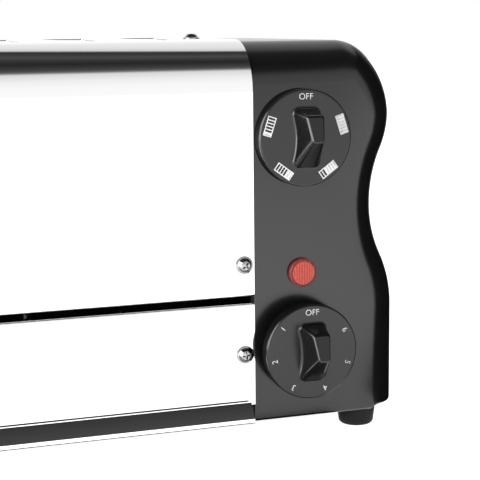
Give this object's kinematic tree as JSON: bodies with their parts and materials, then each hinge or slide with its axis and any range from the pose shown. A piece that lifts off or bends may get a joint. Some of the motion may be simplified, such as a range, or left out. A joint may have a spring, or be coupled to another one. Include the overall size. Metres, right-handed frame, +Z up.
{
  "type": "slot toaster",
  "caption": "Counter-top slot toaster: polished casing between waved black end caps, rotary selector and timer knobs, neon lamp, lift lever and a slide-out crumb tray.",
  "frame": {"origin": "centre of the whole box on the counter plane, under the feet", "axes": "+X to the right as seen from the front, +Y to the rear, +Z up"},
  "size_m": [0.46, 0.2364, 0.2278],
  "materials": {
    "polished_steel": "mirror polished stainless sheet",
    "plain_steel": "plain galvanised sheet",
    "bright_steel": "bright steel",
    "screw_chrome": "plated",
    "cap_plastic": "satin black",
    "knob_plastic": "satin black",
    "foot_rubber": "matt black",
    "mica": "mica sheet",
    "ribbon": "oxidised resistance ribbon",
    "brass": "turned",
    "switch_plastic": "moulded",
    "timer_case": "plain",
    "neon_red": "clear red lens",
    "wire_red": "sleeved wire",
    "gland_black": "moulded nylon"
  },
  "bodies": {
    "chassis": {"casing_wrap": "polished_steel", "lower_front_panel": "polished_steel", "lower_rear_panel": "polished_steel", "base_plate": "plain_steel", "left_bulkhead": "plain_steel", "right_bulkhead": "plain_steel", "element_combs": "plain_steel", "tray_runners": "plain_steel", "guide_brackets": "plain_steel", "front_shield": "bright_steel", "rear_shield": "bright_steel", "guide_rods": "bright_steel", "control_nuts": "bright_steel", "bread_guard_1": "bright_steel", "bread_guard_2": "bright_steel", "bread_guard_3": "bright_steel", "bread_guard_4": "bright_steel", "bread_guard_5": "bright_steel", "bread_guard_6": "bright_steel", "front_screws": "screw_chrome", "rear_screws": "screw_chrome", "top_screws": "screw_chrome", "cap_screws": "screw_chrome", "foot_screws": "screw_chrome", "left_end_cap": "cap_plastic", "right_end_cap": "cap_plastic", "feet": "foot_rubber", "mica_board_1": "mica", "mica_board_2": "mica", "mica_board_3": "mica", "mica_board_4": "mica", "mica_board_5": "mica", "mica_board_6": "mica", "mica_board_7": "mica", "heating_ribbons": "ribbon", "timer_bell": "brass", "selector_switch": "switch_plastic", "terminal_block": "switch_plastic", "lamp_body": "switch_plastic", "timer_unit": "timer_case", "lamp_lens": "neon_red", "wiring": "wire_red", "cable_gland": "gland_black", "gland_nut": "gland_black"},
    "lift": {"lift_rails": "plain_steel", "lift_carrier": "plain_steel", "guide_bushes": "brass", "lift_lever": "plain_steel", "lever_knob": "knob_plastic", "bread_rest_1": "bright_steel", "bread_rest_2": "bright_steel", "bread_rest_3": "bright_steel", "bread_rest_4": "bright_steel", "bread_rest_5": "bright_steel", "bread_rest_6": "bright_steel"},
    "selector": {"selector_knob": "knob_plastic", "selector_shaft": "bright_steel"},
    "timer": {"timer_knob": "knob_plastic", "timer_shaft": "bright_steel"},
    "tray": {"crumb_tray": "polished_steel"}
  },
  "joints": [
    {"name": "selector_turn", "type": "hinge", "parent": "chassis", "child": "selector", "pos_m": [0.1692, -0.09535, 0.1727], "axis": [0, 1, 0], "range_deg": [0, 288]},
    {"name": "timer_turn", "type": "hinge", "parent": "chassis", "child": "timer", "pos_m": [0.1714, -0.09845, 0.0555], "axis": [0, 1, 0], "range_deg": [0, 300]},
    {"name": "tray_slide", "type": "slide", "parent": "chassis", "child": "tray", "axis": [0, -1, 0], "range_m": [0, 0.185]},
    {"name": "lift_slide", "type": "slide", "parent": "chassis", "child": "lift", "axis": [0, 0, 1], "range_m": [0, 0.045]}
  ]
}
